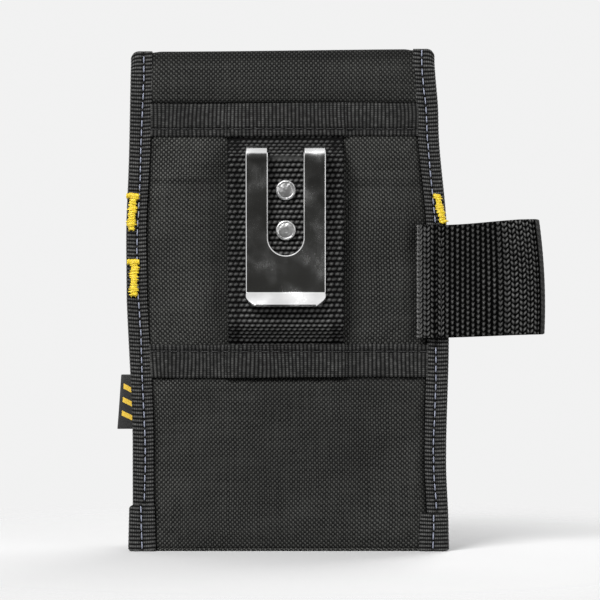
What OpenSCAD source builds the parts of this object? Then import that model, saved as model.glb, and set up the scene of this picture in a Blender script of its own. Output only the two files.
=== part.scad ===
// Electrician's belt pouch: a stiff back panel with a riveted steel belt clip on a
// webbing belt loop, three tiers of open pockets in front, bound side seams and a
// webbing tool loop on one side seam.
// Frame: origin at the centre of the base, +Z up, +X to the wearer's right of the
// back panel as it is looked at, -Y the side that lies against the belt.

/* [Back panel] */
// Height of the pouch over its turned top edge
pouch_h = 220; // [200:1:240]
// Half width at the bottom of the side seams
half_w_bottom = 68.8; // [66:0.1:72]
// Half width at the widest point
half_w_middle = 69.4; // [67:0.1:73]
// Half width at the top of the side seams
half_w_top = 67; // [65:0.1:70]
// Height of the widest point
widest_z = 110; // [90:1:130]
// Thickness of the heavy outer fabric
fabric_t = 1.2; // [0.8:0.1:1.5]
// Thickness of the lining fabric
lining_t = 0.8; // [0.5:0.1:1]
// Thickness of the plastic stiffener between them
board_t = 1; // [0.8:0.1:1.2]

/* [Base] */
// Depth of the flat base, front to back
base_d = 44; // [42:1:50]
// Thickness of the base, fabric on board
base_t = 1.6; // [1.2:0.1:2]

/* [Pockets] */
// Height of the main pocket's mouth
main_h = 158; // [150:1:165]
// Height of the middle pocket's mouth
middle_h = 129; // [122:1:132]
// Height of the two front pockets' mouths
front_h = 86; // [80:1:92]
// Half width of the main pocket over its gussets
main_half_w = 59.6; // [58:0.1:60]
// Length of each panel below its mouth that stands upright
mouth_straight = 12; // [11:1:14]

/* [Tape and webbing] */
// Width of the binding that shows on each face
binding_w = 9.7; // [9:0.1:11]
// Thickness of the binding tape
tape_t = 0.8; // [0.5:0.1:1]
// Width of the flat tapes across the back
band_w = 14.5; // [13:0.5:16]
// Width of the heavy webbing
webbing_w = 50.8; // [48:0.1:51]
// Thickness of the heavy webbing
webbing_t = 1.6; // [1.4:0.1:1.8]
// Lower edge of the upper band
upper_band_z = 182.5; // [180:0.5:184]
// Lower edge of the lower band
lower_band_z = 76.5; // [74:0.5:80]
// Free depth behind the belt loop for a belt
tunnel_gap = 5.2; // [4.8:0.1:6]
// Height of the left corner wrap
left_wrap_h = 21; // [16:1:24]
// Height of the right corner wrap
right_wrap_h = 17; // [16:1:24]

/* [Belt clip] */
// Width of the steel clip
clip_w = 35; // [33:0.5:38]
// Thickness of the steel
clip_t = 1.2; // [1:0.1:1.5]
// Top of the clip's bends
clip_top_z = 177.5; // [176:0.5:178]
// Bottom of the clip's lip
clip_bottom_z = 108.4; // [106:0.2:112]
// Outer radius of the bends
bend_r = 5; // [4.6:0.1:5.2]
// Width of the slot between the legs
slot_w = 15.6; // [14:0.2:17]
// Lean of the legs towards the webbing, in degrees
leg_lean = 5.4; // [5:0.1:5.6]
// Height of the flared lip
lip_h = 6; // [5:0.5:7]
// Flare of the lip, in degrees from upright
lip_flare = 38; // [30:1:45]
// Height of the upper rivet
rivet_top_z = 158.4; // [156:0.2:160]
// Distance between the two rivets
rivet_pitch = 17.5; // [16:0.5:18]
// Radius of a rivet's head
rivet_head_r = 4.4; // [4:0.1:5]
// Radius of a rivet's shank
rivet_shank_r = 2; // [1.5:0.1:2.2]

/* [Tool loop and label] */
// Height of the middle of the tool loop
loop_mid_z = 118; // [112:1:122]
// Distance from the centre plane to the loop's far end
loop_reach = 112; // [106:1:118]
// Outer radius of the loop's far end
loop_end_r = 6.5; // [6:0.5:8]
// Lower edge of the label
label_z = 53.6; // [48:0.2:56]
// Height of the label
label_h = 24; // [20:1:24]
// How far the label stands out past the side seam
label_reach = 5.6; // [4:0.2:7]

/* [Hidden] */

// Depth of each layer. "rear" faces the belt, and each later layer lies further from it.
rear_y = -base_d / 2;
board_y = rear_y + fabric_t;
lining_y = board_y + board_t;
inside_y = lining_y + lining_t;
panel_top_z = pouch_h - fabric_t;
binding_top_z = pouch_h + 0.6;
corner_r = 4;

// Belt loop and clip, out from the back panel
burr_t = 1;
burr_r = 4;
plate_rear_y = rear_y - tunnel_gap - burr_t;
webbing_in_y = plate_rear_y - clip_t;
webbing_out_y = webbing_in_y - webbing_t;
sewn_out_y = rear_y - webbing_t;
bend_y = plate_rear_y - bend_r;
bend_z = clip_top_z - bend_r;
bend_gap_deg = 12;
plate_bottom_z = 130;
ear_z = 167;
slot_r = slot_w / 2;
slot_bottom_z = 129.8 + slot_r;
rivet_z = [rivet_top_z, rivet_top_z - rivet_pitch];
bore_r = rivet_shank_r + 0.05;

// Pocket walls: outer face of each panel at the base, at the mouth, and its belly
main_face = [2.5, 6.5, 2];
middle_face = [12.5, 17.5, 2];
front_face = [base_d / 2, base_d / 2 + 5.5, 3];
middle_half_w = main_half_w + fabric_t;
front_left_x = [-56, 2];
front_right_x = [8, 56];
stations = [
    base_t, 22, 50, front_h - mouth_straight, front_h, middle_h - mouth_straight,
    middle_h, main_h - mouth_straight, main_h
];

// Tool loop
pivot_x = half_w_middle + 2.6;
pivot_y = rear_y + (fabric_t + board_t + lining_t) / 2;
neck_r = 2;
loop_z0 = loop_mid_z - webbing_w / 2;

// Outer face of a pocket panel at height z. face is [y at base, y at mouth, belly].
function face_y(face, h, z) =
    let (share = min(1, z / (h - mouth_straight)))
    face[0] + (face[1] - face[0]) * share + face[2] * sin(180 * share);

// The face's outline up to its mouth, moved by dy
function face_line(face, h, dy = 0, top = 0) =
    [for (z = stations) if (z <= (top > 0 ? top : h)) [face_y(face, h, z) + dy, z]];

function reversed(list) = [for (i = [len(list) - 1:-1:0]) list[i]];

// Half width of the side seams at height z
function half_w(z) = z < widest_z
    ? half_w_bottom + (half_w_middle - half_w_bottom) * z / widest_z
    : half_w_middle + (half_w_top - half_w_middle) * (z - widest_z) / (pouch_h - widest_z);

// Side edge of the back panel on the +X side from z0 up to z1, with a round top corner
function side_edge(inset, z0, z1) = concat(
    [[half_w(z0) - inset, z0], [half_w(widest_z) - inset, widest_z]],
    [for (a = [0:15:90])
        [half_w(z1) - inset - corner_r * (1 - cos(a)), z1 - corner_r * (1 - sin(a))]]
);

// Closes a line that runs along the +X side with its mirror image on the -X side
function both_sides(line) = concat(line, [for (p = reversed(line)) [-p[0], p[1]]]);

// Extrudes a drawing of (x, z) from y0 to y1
module from_back(y0, y1) {
    translate([0, y1, 0]) rotate([90, 0, 0]) linear_extrude(height = y1 - y0) children();
}

// Extrudes a drawing of (y, z) from x0 to x1
module from_side(x0, x1) {
    translate([x0, 0, 0]) rotate([90, 0, 90]) linear_extrude(height = x1 - x0) children();
}

module mirrored_x() {
    children();
    mirror([1, 0, 0]) children();
}

module box_between(low, high) {
    translate(low) cube(high - low);
}

// ---- Back panel ----

module panel_sheet(y0, y1) {
    from_back(y0, y1) polygon(both_sides(side_edge(tape_t, base_t, panel_top_z)));
}

module back_panel() {
    color("#2e2e2d") panel_sheet(rear_y, board_y);
}

module back_lining() {
    color("#262626") panel_sheet(lining_y, inside_y);
}

module stiffener_board() {
    board_half_w = half_w_top - binding_w - 2;
    color("#1c1c1c")
        box_between([-board_half_w, board_y, base_t], [board_half_w, lining_y, panel_top_z]);
}

module top_facing() {
    half = half_w(pouch_h) - binding_w;
    z0 = upper_band_z + band_w;
    color("#2e2e2d") difference() {
        box_between([-half, rear_y - fabric_t, z0], [half, inside_y + fabric_t, pouch_h]);
        box_between([-half - 1, rear_y, z0 - 1], [half + 1, inside_y, panel_top_z]);
    }
}

// Flat tape across the back that steps over the belt webbing
module band(z0) {
    half = half_w(z0) - binding_w - 0.3;
    step = webbing_w / 2;
    line = [
        [step, sewn_out_y], [step, rear_y], [half, rear_y], [half, rear_y - tape_t],
        [step + tape_t, rear_y - tape_t], [step + tape_t, sewn_out_y - tape_t]
    ];
    color("#2c2c2b") translate([0, 0, z0]) linear_extrude(height = band_w)
        polygon(both_sides(line));
}

module upper_band() {
    band(upper_band_z);
}

module lower_band() {
    band(lower_band_z);
}

// Belt loop: sewn flat under both bands, and standing off between them
module belt_webbing() {
    slope_top = upper_band_z - 1;
    slope_low = lower_band_z + band_w + 1;
    run = 7;
    outer = [
        [sewn_out_y, upper_band_z + band_w - 2], [sewn_out_y, slope_top],
        [webbing_out_y, slope_top - run], [webbing_out_y, slope_low + run],
        [sewn_out_y, slope_low], [sewn_out_y, lower_band_z + 2]
    ];
    inner = [
        [rear_y, lower_band_z + 2], [rear_y, slope_low - webbing_t / 2],
        [webbing_in_y, slope_low + run - webbing_t / 2],
        [webbing_in_y, slope_top - run + webbing_t / 2],
        [rear_y, slope_top + webbing_t / 2], [rear_y, upper_band_z + band_w - 2]
    ];
    slit_side = 0.3;
    color("#202020") difference() {
        from_side(-webbing_w / 2, webbing_w / 2) polygon(concat(outer, inner));
        mirrored_x() box_between(
            [slot_r - slit_side, webbing_out_y - 1, bend_z - 1.5],
            [clip_w / 2 + slit_side, rear_y, clip_top_z + 2]
        );
        for (z = rivet_z) translate([0, webbing_out_y - 1, z]) rotate([-90, 0, 0])
            cylinder(r = bore_r, h = webbing_t + 2, $fn = 48);
    }
}

// ---- Bound side seams ----

// Binding tape folded round the edge of the back panel, on the +X side
module side_binding() {
    y0 = rear_y - tape_t;
    y1 = inside_y + tape_t;
    inner_edge = [for (z = [binding_top_z, widest_z, 0]) [half_w(z) - binding_w, z]];
    color("#2b2b2a") difference() {
        from_back(y0, y1) polygon(concat(side_edge(0, 0, binding_top_z), inner_edge));
        from_back(rear_y, inside_y)
            polygon(both_sides(side_edge(tape_t, base_t, panel_top_z)));
        // the pocket gussets run past the inner edge of the front leg
        box_between([0, inside_y, -1], [middle_half_w, y1 + 1, middle_h]);
        box_between([0, inside_y, -1], [main_half_w, y1 + 1, main_h]);
    }
}

module side_binding_right() {
    side_binding();
}

module side_binding_left() {
    mirror([1, 0, 0]) side_binding();
}

// Short tape folded round the foot of the binding, on the +X side
module corner_wrap(h) {
    y0 = rear_y - 2 * tape_t;
    y1 = inside_y + 2 * tape_t;
    x1 = half_w_bottom + 1.2;
    color("#2b2b2a") difference() {
        box_between([half_w_bottom - binding_w - 1.8, y0, 0], [x1, y1, h]);
        box_between([0, rear_y - tape_t, -1], [half_w(h), inside_y + tape_t, h + 1]);
        box_between([0, rear_y, -1], [middle_half_w, y1 + 1, h + 1]);
    }
}

module corner_wrap_right() {
    corner_wrap(right_wrap_h);
}

module corner_wrap_left() {
    mirror([1, 0, 0]) corner_wrap(left_wrap_h);
}

// ---- Base and pockets ----

module base_panel() {
    inner = half_w_bottom - binding_w;
    color("#2a2a29") difference() {
        box_between([-middle_half_w, rear_y, 0], [middle_half_w, base_d / 2, base_t]);
        mirrored_x() box_between([inner, rear_y - 1, -1], [middle_half_w + 1, inside_y, base_t + 1]);
    }
}

module pocket_panel(face, h, x0, x1) {
    color("#2e2e2d") from_side(x0, x1)
        polygon(concat(face_line(face, h), reversed(face_line(face, h, -fabric_t))));
}

// Gusset from a flat wall at y_back to the inner face of a panel
module deep_gusset(face, h, x0, x1) {
    color("#2a2a29") from_side(x0, x1)
        polygon(concat(face_line(face, h, -fabric_t), [[inside_y, h], [inside_y, base_t]]));
}

// Gusset from the middle panel to the inner face of a front pocket
module front_gusset(x0, x1) {
    color("#2a2a29") from_side(x0, x1) polygon(concat(
        face_line(front_face, front_h, -fabric_t),
        reversed(face_line(middle_face, middle_h, 0, front_h))
    ));
}

// Tape folded over a panel's mouth. The inner leg stops clear of the gussets.
module mouth_tape(face, h, x0, x1) {
    y = face[1];
    difference() {
        box_between([x0, y - fabric_t - tape_t, h - binding_w], [x1, y + tape_t, h + tape_t]);
        box_between([x0 - 1, y - fabric_t, h - binding_w - 1], [x1 + 1, y, h]);
        for (x = [x0 - 1, x1 - fabric_t])
            box_between([x, y - fabric_t - tape_t - 1, 0], [x + fabric_t + 1, y - fabric_t, h]);
    }
}

module main_pocket_front() {
    pocket_panel(main_face, main_h, -main_half_w, main_half_w);
}

module main_gusset_right() {
    deep_gusset(main_face, main_h, main_half_w - fabric_t, main_half_w);
}

module main_gusset_left() {
    mirror([1, 0, 0]) main_gusset_right();
}

// Plan of a wall round the three free sides of the main pocket, thicker by skin on each face
module three_sides(skin) {
    outer = main_half_w + skin;
    inner = main_half_w - fabric_t - skin;
    y_start = inside_y + tape_t;
    difference() {
        translate([-outer, y_start]) square([2 * outer, main_face[1] + skin - y_start]);
        translate([-inner, y_start - 1])
            square([2 * inner, main_face[1] - fabric_t - skin - y_start + 1]);
    }
}

module main_mouth_binding() {
    color("#2b2b2a") translate([0, 0, main_h - binding_w]) difference() {
        linear_extrude(height = binding_w + tape_t) three_sides(tape_t);
        translate([0, 0, -1]) linear_extrude(height = binding_w + 1) three_sides(0);
    }
}

module middle_pocket_front() {
    pocket_panel(middle_face, middle_h, -middle_half_w, middle_half_w);
}

module middle_gusset_right() {
    deep_gusset(middle_face, middle_h, main_half_w, middle_half_w);
}

module middle_gusset_left() {
    mirror([1, 0, 0]) middle_gusset_right();
}

module middle_mouth_binding() {
    color("#2b2b2a")
        mouth_tape(middle_face, middle_h, -middle_half_w, middle_half_w);
}

module front_pocket_left() {
    pocket_panel(front_face, front_h, front_left_x[0], front_left_x[1]);
}

module front_pocket_right() {
    pocket_panel(front_face, front_h, front_right_x[0], front_right_x[1]);
}

module front_gusset_left_outer() {
    front_gusset(front_left_x[0], front_left_x[0] + fabric_t);
}

module front_gusset_left_inner() {
    front_gusset(front_left_x[1] - fabric_t, front_left_x[1]);
}

module front_gusset_right_inner() {
    front_gusset(front_right_x[0], front_right_x[0] + fabric_t);
}

module front_gusset_right_outer() {
    front_gusset(front_right_x[1] - fabric_t, front_right_x[1]);
}

module front_mouth_binding_left() {
    color("#2b2b2a")
        mouth_tape(front_face, front_h, front_left_x[0], front_left_x[1]);
}

module front_mouth_binding_right() {
    color("#2b2b2a")
        mouth_tape(front_face, front_h, front_right_x[0], front_right_x[1]);
}

// ---- Belt clip ----

module across(r, half_length) {
    translate([-half_length, 0, 0]) rotate([0, 90, 0]) cylinder(r = r, h = 2 * half_length, $fn = 96);
}

// Front frame of the clip: two bends, two legs that join below the slot, and a flared lip
module clip_spring_frame() {
    half = clip_w / 2;
    chamfer = 3.2;
    knee_z = clip_bottom_z + lip_h;
    leg_len = (bend_z - knee_z) / cos(leg_lean);
    color("#b9b9b7") difference() {
        intersection() {
            translate([0, bend_y, bend_z]) union() {
                // the bends, open at the back where the spring strip runs on as the plate
                difference() {
                    across(bend_r, half);
                    across(bend_r - clip_t, half + 1);
                    box_between([-half - 1, -bend_r - 1, -bend_r - 1], [half + 1, bend_r + 1, 0]);
                    rotate([bend_gap_deg, 0, 0])
                        box_between([-half - 1, 0, -bend_r], [half + 1, bend_r + 1, 0]);
                }
                rotate([leg_lean, 0, 0]) {
                    box_between([-half, -bend_r, -leg_len], [half, clip_t - bend_r, 0.4]);
                    translate([0, -bend_r, -leg_len]) rotate([-leg_lean - lip_flare, 0, 0])
                        box_between([-half, 0, -lip_h / cos(lip_flare)], [half, clip_t, 0.5]);
                }
            }
            from_back(bend_y - 20, plate_rear_y) polygon([
                [-half, clip_top_z + 1], [half, clip_top_z + 1],
                [half, clip_bottom_z + chamfer], [half - 4, clip_bottom_z],
                [4 - half, clip_bottom_z], [-half, clip_bottom_z + chamfer]
            ]);
        }
        box_between([-slot_r, bend_y - 20, slot_bottom_z], [slot_r, plate_rear_y + 1, clip_top_z + 1]);
        translate([0, plate_rear_y + 1, slot_bottom_z]) rotate([90, 0, 0])
            cylinder(r = slot_r, h = 40, $fn = 96);
    }
}

// The same strip's other end, behind the webbing
module clip_back_plate() {
    half = clip_w / 2;
    color("#a9a9a7") difference() {
        box_between([-half, webbing_in_y, plate_bottom_z], [half, plate_rear_y, bend_z]);
        box_between([-slot_r, webbing_in_y - 1, ear_z], [slot_r, plate_rear_y + 1, bend_z + 1]);
        for (z = rivet_z) translate([0, webbing_in_y - 1, z]) rotate([-90, 0, 0])
            cylinder(r = bore_r, h = clip_t + 2, $fn = 48);
    }
}

// Rivet drawn as radius over height, with a flat-topped domed head and a shallow rim
module rivet() {
    head_h = 1.8;
    shank = webbing_t + clip_t + burr_t;
    rotate([90, 0, 0]) rotate_extrude($fn = 96) polygon([
        [0, -shank], [rivet_shank_r, -shank], [rivet_shank_r, 0], [rivet_head_r, 0],
        [rivet_head_r, head_h * 0.45], [rivet_head_r * 0.93, head_h * 0.8],
        [rivet_head_r * 0.8, head_h], [rivet_head_r * 0.66, head_h * 0.9], [0, head_h * 0.95]
    ]);
}

module clip_rivets() {
    color("#c4c4c2") for (z = rivet_z) translate([0, webbing_out_y, z]) rivet();
}

module rivet_burrs() {
    color("#a9a9a7") for (z = rivet_z) translate([0, plate_rear_y, z]) rotate([-90, 0, 0])
        difference() {
            cylinder(r = burr_r, h = burr_t, $fn = 64);
            translate([0, 0, -1]) cylinder(r = bore_r, h = burr_t + 2, $fn = 48);
        }
}

// ---- Bartacks and label ----

// Dense zigzag tack of thick thread, as a low block on a face at y
module bartack(x, y0, y1, z0, z1) {
    tack_w = 3.6;
    box_between([x - tack_w / 2, y0, z0], [x + tack_w / 2, y1, z1]);
}

module side_bartacks() {
    tack_t = 0.6;
    tack_len = 17.6;
    x = half_w_middle - 4.2;
    y = rear_y - tape_t;
    color("#f2c500") {
        for (h = [main_h, middle_h]) bartack(-x, y - tack_t, y, h - tack_len, h);
        bartack(x, y - tack_t, y, loop_z0 + webbing_w + 0.4, main_h);
    }
}

module front_bartacks() {
    tack_t = 0.6;
    tack_len = 9;
    y = front_face[1] + tape_t;
    ends = [front_left_x[0] + 3, front_left_x[1] - 3, front_right_x[0] + 3, front_right_x[1] - 3];
    color("#f2c500") for (x = ends)
        bartack(x, y, y + tack_t, front_h - tack_len, front_h);
}

module side_label() {
    label_t = 0.8;
    y = inside_y + tape_t;
    color("#20201f") box_between(
        [-half_w_middle - label_reach, y, label_z],
        [-middle_half_w, y + label_t, label_z + label_h]
    );
}

// ---- Tool loop ----

// The two ends of the webbing, sewn flat on the right side seam
module loop_anchor_rear() {
    y = rear_y - tape_t;
    color("#202020") box_between(
        [half_w_middle - 12.4, y - 2 * webbing_t, loop_z0],
        [half_w_middle, y, loop_z0 + webbing_w]
    );
}

module loop_anchor_front() {
    y = inside_y + tape_t;
    color("#202020") box_between(
        [middle_half_w, y, loop_z0], [half_w_middle, y + webbing_t, loop_z0 + webbing_w]
    );
}

// Outline of a teardrop, from a small circle at the neck to a large one at the end
function teardrop(x_end, r_neck, r_end) =
    let (lean = asin((r_end - r_neck) / x_end))
    concat(
        [for (i = [0:6]) let (a = 90 + lean + i * (180 - 2 * lean) / 6)
            [r_neck * cos(a), r_neck * sin(a)]],
        [for (i = [0:12]) let (a = -90 - lean + i * (180 + 2 * lean) / 12)
            [x_end + r_end * cos(a), r_end * sin(a)]]
    );

module tool_loop() {
    x_end = loop_reach - loop_end_r - pivot_x;
    color("#202020") translate([pivot_x, pivot_y, loop_z0]) linear_extrude(height = webbing_w)
        difference() {
            polygon(teardrop(x_end, neck_r, loop_end_r));
            polygon(teardrop(x_end, neck_r - webbing_t, loop_end_r - webbing_t));
        }
}

back_panel();
back_lining();
stiffener_board();
top_facing();
upper_band();
lower_band();
belt_webbing();
side_binding_left();
side_binding_right();
corner_wrap_left();
corner_wrap_right();
base_panel();
main_pocket_front();
main_gusset_left();
main_gusset_right();
main_mouth_binding();
middle_pocket_front();
middle_gusset_left();
middle_gusset_right();
middle_mouth_binding();
front_pocket_left();
front_pocket_right();
front_gusset_left_outer();
front_gusset_left_inner();
front_gusset_right_inner();
front_gusset_right_outer();
front_mouth_binding_left();
front_mouth_binding_right();
clip_back_plate();
clip_spring_frame();
clip_rivets();
rivet_burrs();
side_bartacks();
front_bartacks();
side_label();
loop_anchor_rear();
loop_anchor_front();
tool_loop();
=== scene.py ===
"""An electrician's belt pouch, seen from its belt side: basket-weave fabric panels and pockets, ribbed
bindings, coarse webbing, a riveted spring-steel clip and thread stitching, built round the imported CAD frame.

Lengths in the code are millimetres, in the frame's own axes, and become metres when a mesh is made. Each
fabric piece is a grid of points over its outer face, which shell() turns into a closed sheet with a relief
of yarns.
"""

import math

import bmesh
import bpy
import numpy as np
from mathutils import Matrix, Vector

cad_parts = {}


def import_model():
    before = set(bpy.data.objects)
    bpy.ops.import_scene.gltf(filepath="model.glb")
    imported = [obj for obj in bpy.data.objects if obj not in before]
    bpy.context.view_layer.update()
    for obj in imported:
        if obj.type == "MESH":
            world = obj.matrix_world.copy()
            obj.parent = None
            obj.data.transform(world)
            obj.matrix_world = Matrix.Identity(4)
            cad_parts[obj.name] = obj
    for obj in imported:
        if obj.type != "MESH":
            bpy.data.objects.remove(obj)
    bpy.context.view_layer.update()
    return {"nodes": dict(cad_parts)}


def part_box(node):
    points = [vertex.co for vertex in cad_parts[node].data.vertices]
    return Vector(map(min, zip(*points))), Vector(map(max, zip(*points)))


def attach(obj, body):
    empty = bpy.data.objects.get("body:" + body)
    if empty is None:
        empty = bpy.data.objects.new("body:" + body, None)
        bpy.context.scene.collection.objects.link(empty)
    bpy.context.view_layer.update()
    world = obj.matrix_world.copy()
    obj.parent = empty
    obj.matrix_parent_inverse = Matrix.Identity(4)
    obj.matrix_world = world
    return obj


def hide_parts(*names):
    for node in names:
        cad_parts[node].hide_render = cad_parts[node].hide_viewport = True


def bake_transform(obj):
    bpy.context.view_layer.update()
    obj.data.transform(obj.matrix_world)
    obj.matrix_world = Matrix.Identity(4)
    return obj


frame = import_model()

MM = 0.001
POUCH, CLIP, LOOP = "pouch", "clip_frame", "tool_loop_strap"
SIDES = ("left", "right")
BELT_SIDE, POCKET_SIDE = (0, -1, 0), (0, 1, 0)
RNG = np.random.default_rng(11)


# ---- Places taken from the frame ----


def box(node):
    """A CAD node's lowest and highest corners, in millimetres."""
    low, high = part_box(node)
    return np.array(low) / MM, np.array(high) / MM


def outline(node, axis):
    """How a CAD node's furthest reach along an axis changes with height, as (heights, reach)."""
    points = np.array([v.co for v in frame["nodes"][node].data.vertices]) / MM
    heights = np.unique(np.round(points[:, 2], 2))
    reach = [points[np.abs(points[:, 2] - z) < 0.02, axis].max() for z in heights]
    return heights, np.array(reach)


BACK_Y = box("back_panel")[0][1]
INSIDE_Y = box("back_lining")[1][1]
FABRIC_T = box("back_panel")[1][1] - BACK_Y
UPPER_BAND, LOWER_BAND = box("upper_band"), box("lower_band")
WEBBING = box("belt_webbing")
LOOP_LOW, LOOP_TOP = box("tool_loop")[0][2], box("tool_loop")[1][2]
WEB_T, TAPE_T = 1.6, 0.8
BINDING_W = 9.7
RIB_PITCH, TAPE_BEAD = 1.67, 2.7
CLIP_SLOT_R = 7.8


def bowed(heights, reach):
    """The corners of a side that bows outwards, without the notches in it."""
    kept = []
    for z, x in zip(heights, reach):
        while len(kept) > 1:
            (z0, x0), (z1, x1) = kept[-2:]
            if (x1 - x0) * (z - z0) > (x - x0) * (z1 - z0):
                break
            kept.pop()
        kept.append((z, x))
    return np.array(kept).T


SEAM_Z, SEAM_X = bowed(*outline("side_binding_right", 0))


def half_width(z):
    """Distance from the centre plane to the outer edge of the side seams."""
    return np.interp(z, SEAM_Z, SEAM_X)


def cloth_edge(z):
    """Distance from the centre plane to the inner edge of the side bindings, which stays straight where
    the seams' top corners are cut off."""
    corner_z = 205
    return half_width(np.minimum(z, corner_z)) - BINDING_W


# ---- Curves over a distance ----


def rise(x, low, high):
    """A smooth step, from 0 at low to 1 at high."""
    t = np.clip((x - low) / (high - low), 0, 1)
    return t * t * (3 - 2 * t)


def between(x, low, full, falling, high):
    """1 from full to falling, and 0 outside low and high."""
    return rise(x, low, full) * (1 - rise(x, falling, high))


def bell(x, centre, width):
    return np.exp(-((x - centre) / width) ** 2)


def humps(x, power=1.0):
    """Humps up to 1, one for each whole step of x."""
    return np.abs(np.sin(math.pi * x)) ** power


def leaned(points):
    """Moves the sides of the pouch a little, as the sewn pouch isn't quite square: its right side draws in
    above the tool loop, and its left side draws in towards the foot. The middle stays."""
    out = points.copy()
    x, z = points[..., 0], points[..., 2]
    right = 2.9 - 1.4 * rise(z, 8, 40) + 1.1 * rise(z, 45, 95) - 2.8 * rise(z, 140, 188)
    right = right - 1.35 * rise(z, 192, 216)
    left = 1.5 - 2.7 * rise(z, 45, 120) - 0.8 * bell(z, 142, 22)
    out[..., 0] += rise(x, 28, 58) * right + rise(-x, 28, 58) * left
    out[..., 2] += 1.1 * rise(x, -60, 70) * rise(z, 195, 218)
    return out


# ---- Lines and grids ----


def lengths(line):
    """Distance along a line to each of its points."""
    return np.concatenate([[0], np.cumsum(np.linalg.norm(np.diff(line, axis=0), axis=1))])


def resampled(line, step):
    """The same line with evenly spaced points, about step apart."""
    line = np.asarray(line, float)
    along = lengths(line)
    at = np.linspace(0, along[-1], max(3, int(round(along[-1] / step)) + 1))
    return np.stack([np.interp(at, along, values) for values in line.T], axis=1)


def rounded(line, step, soft):
    """The line with its corners rounded over about soft millimetres, and its ends kept."""
    line = resampled(line, step)
    reach = min(int(3 * soft / step) + 1, len(line) - 2)
    weights = np.exp(-0.5 * (np.arange(-reach, reach + 1) * step / soft) ** 2)
    weights /= weights.sum()
    head = 2 * line[0] - line[reach:0:-1]
    tail = 2 * line[-1] - line[-2:-reach - 2:-1]
    padded = np.concatenate([head, line, tail])
    smooth = [np.convolve(padded[:, k], weights, "valid") for k in range(line.shape[1])]
    return resampled(np.stack(smooth, axis=1), step)


def cubic(values, at):
    """Values along axis 0 read between their places with a smooth cubic."""
    last = len(values) - 1
    i = np.clip(np.floor(at).astype(int), 0, last - 1)
    t = (at - i).reshape(-1, *[1] * (values.ndim - 1))
    a, b, c, d = (values[np.clip(i + k, 0, last)] for k in (-1, 0, 1, 2))
    return b + 0.5 * t * (c - a + t * (2 * a - 5 * b + 4 * c - d + t * (3 * (b - c) + d - a)))


def refined(grid, rows, columns):
    """A grid of points read at more rows and columns."""
    out = cubic(grid, np.linspace(0, len(grid) - 1, rows))
    out = cubic(out.swapaxes(0, 1), np.linspace(0, grid.shape[1] - 1, columns))
    return out.swapaxes(0, 1)


def wrinkles(a, b):
    """Gentle uneven waves over two distances, between about -1 and 1."""
    total = 0
    for _ in range(7):
        turn, phase = RNG.random() * math.pi, RNG.random() * 7
        size = 14 + 26 * RNG.random()
        place = (a * math.cos(turn) + b * math.sin(turn)) / size
        total = total + np.sin(2 * math.pi * place + phase) * size / 40
    return total / 3


def grid_of(x, y, z):
    """A grid of points from three arrays that broadcast together."""
    return np.stack(np.broadcast_arrays(x, y, z), axis=-1)


def normals(grid):
    n = np.cross(np.gradient(grid, axis=0), np.gradient(grid, axis=1))
    return n / np.maximum(np.linalg.norm(n, axis=-1, keepdims=True), 1e-9)


def grid_uv(grid):
    """Distances across the cloth along both directions of a grid, measured down its middle."""
    n, m = grid.shape[:2]
    u, v = lengths(grid[:, m // 2]), lengths(grid[n // 2])
    return np.stack(np.meshgrid(u, v, indexing="ij"), axis=-1)


def quads_of(n, m):
    i = np.arange(n * m).reshape(n, m)
    return np.stack([i[:-1, :-1], i[1:, :-1], i[1:, 1:], i[:-1, 1:]], -1).reshape(-1, 4)


def tube_quads(rings, sides):
    """The faces of a tube, given as rings of points one after another."""
    i = np.arange(rings * sides).reshape(rings, sides)
    j = np.roll(i, -1, axis=1)
    return np.stack([i[:-1], j[:-1], j[1:], i[1:]], axis=-1).reshape(-1, 4)


# ---- Meshes ----


def make_object(name, points, quads, uv=None, relief=None, sharp=60):
    """A mesh object from points in millimetres. Points that no face uses are left out."""
    used, index = np.unique(quads, return_inverse=True)
    quads = index.reshape(quads.shape)
    points = points[used] * MM
    mesh = bpy.data.meshes.new(name)
    mesh.vertices.add(len(points))
    mesh.vertices.foreach_set("co", points.astype(np.float32).ravel())
    mesh.loops.add(quads.size)
    mesh.loops.foreach_set("vertex_index", quads.astype(np.int32).ravel())
    mesh.polygons.add(len(quads))
    mesh.polygons.foreach_set("loop_start", np.arange(0, quads.size, quads.shape[1], dtype=np.int32))
    mesh.polygons.foreach_set("use_smooth", np.ones(len(quads), bool))
    if uv is not None:
        layer = mesh.uv_layers.new(name="weave")
        layer.data.foreach_set("uv", uv[used][quads.ravel()].astype(np.float32).ravel())
    if relief is not None:
        attribute = mesh.attributes.new("relief", "FLOAT", "POINT")
        attribute.data.foreach_set("value", relief[used].astype(np.float32))
    mesh.update(calc_edges=True)
    mesh.validate()
    mesh.set_sharp_from_angle(angle=math.radians(sharp))
    obj = bpy.data.objects.new(name, mesh)
    bpy.context.scene.collection.objects.link(obj)
    return obj


def finished(obj, material, slot, *replaced, body=POUCH):
    """Gives a piece its material and its body, and hides the CAD nodes it stands for. slot is not used."""
    obj.data.materials.clear()
    obj.data.materials.append(material)
    if body:
        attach(obj, body)
    if replaced:
        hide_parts(*replaced)


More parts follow.
